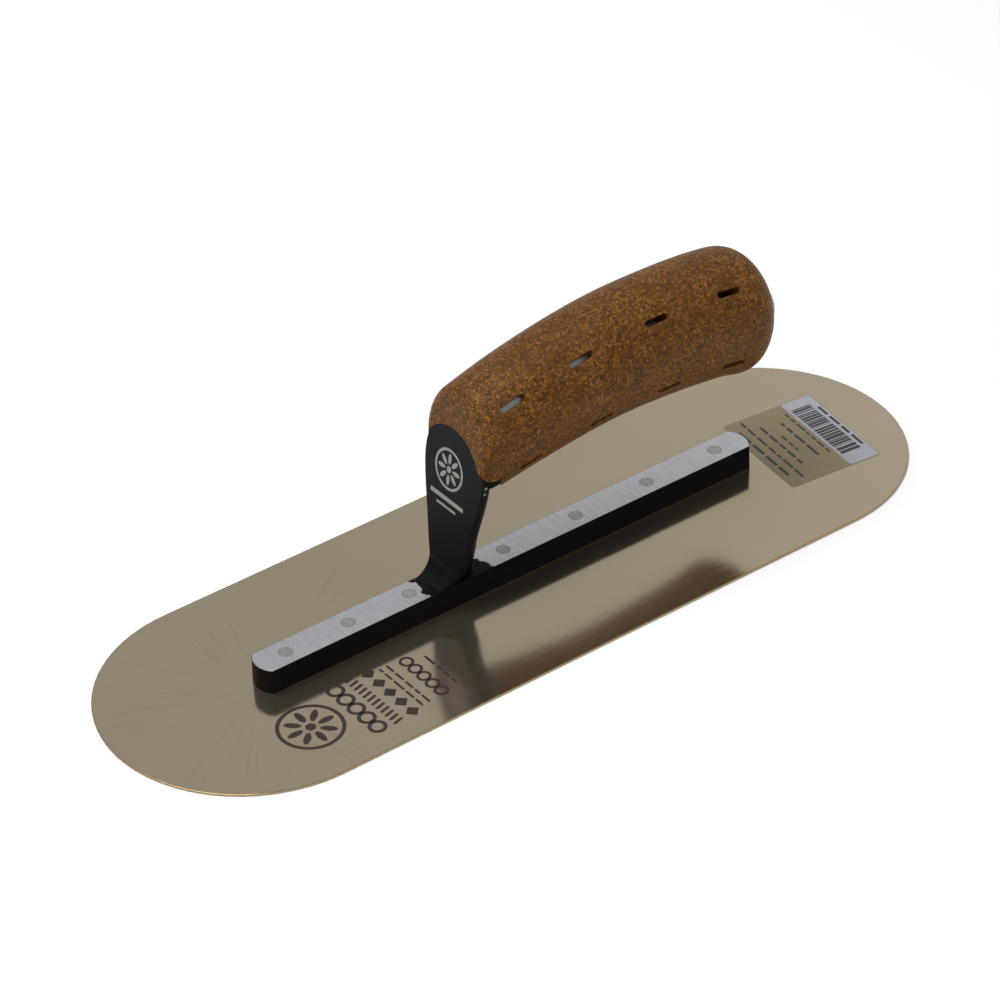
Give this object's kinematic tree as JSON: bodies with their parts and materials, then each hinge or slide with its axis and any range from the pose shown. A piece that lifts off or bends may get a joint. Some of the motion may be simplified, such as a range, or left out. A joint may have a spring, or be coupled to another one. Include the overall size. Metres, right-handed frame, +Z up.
{
  "type": "finishing trowel",
  "caption": "Round-ended finishing trowel: thin spring-steel blade riveted to a cast bar whose raked post carries a bowed cork-composite grip.",
  "frame": {"origin": "centre of the blade's working face, on the surface the trowel rests on", "axes": "+X along the blade from the post end towards the free end of the grip, +Y across the blade, +Z up through the grip"},
  "size_m": [0.305, 0.1, 0.0876],
  "materials": {
    "blade_steel": "gold-tinted stainless spring steel, finely polished",
    "painted_casting": "cast aluminium, satin black coat, top of the bar ground bright",
    "cork_composite": "moulded cork granulate composite, matt, speckled brown",
    "label_film": "printed self-adhesive film",
    "rivet_metal": "rivet steel, ground flush"
  },
  "bodies": {
    "root": {"blade": "blade_steel", "mounting": "painted_casting", "grip": "cork_composite", "label": "label_film", "rivet_1": "rivet_metal", "rivet_2": "rivet_metal", "rivet_3": "rivet_metal", "rivet_4": "rivet_metal", "rivet_5": "rivet_metal", "rivet_6": "rivet_metal", "rivet_7": "rivet_metal"}
  },
  "joints": []
}
